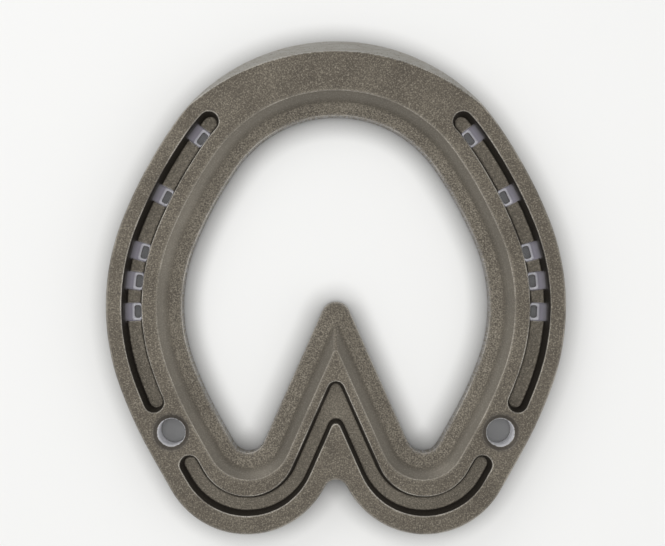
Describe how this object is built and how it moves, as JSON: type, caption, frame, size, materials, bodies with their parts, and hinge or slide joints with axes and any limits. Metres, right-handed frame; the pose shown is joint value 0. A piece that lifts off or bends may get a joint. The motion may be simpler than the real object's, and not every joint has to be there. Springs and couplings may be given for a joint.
{
  "type": "heart-bar horseshoe",
  "caption": "Flat hind horseshoe with a frog plate, nail grooves with punched nail holes, stud holes, a heel groove and a rolled toe, forged in one piece.",
  "frame": {"origin": "centre of the shoe's plan box, on the hoof face", "axes": "+Y to the toe, +X to the right branch seen from the ground side, +Z out of the hoof face towards the ground face"},
  "size_m": [0.133, 0.143, 0.01],
  "materials": {
    "forged_steel": "shot-blasted, lightly oiled mild steel: warm grey-brown with a fine grain; brighter at the rolled toe, the hole rims and the edges"
  },
  "bodies": {
    "root": {"shoe": "forged_steel"}
  },
  "joints": []
}
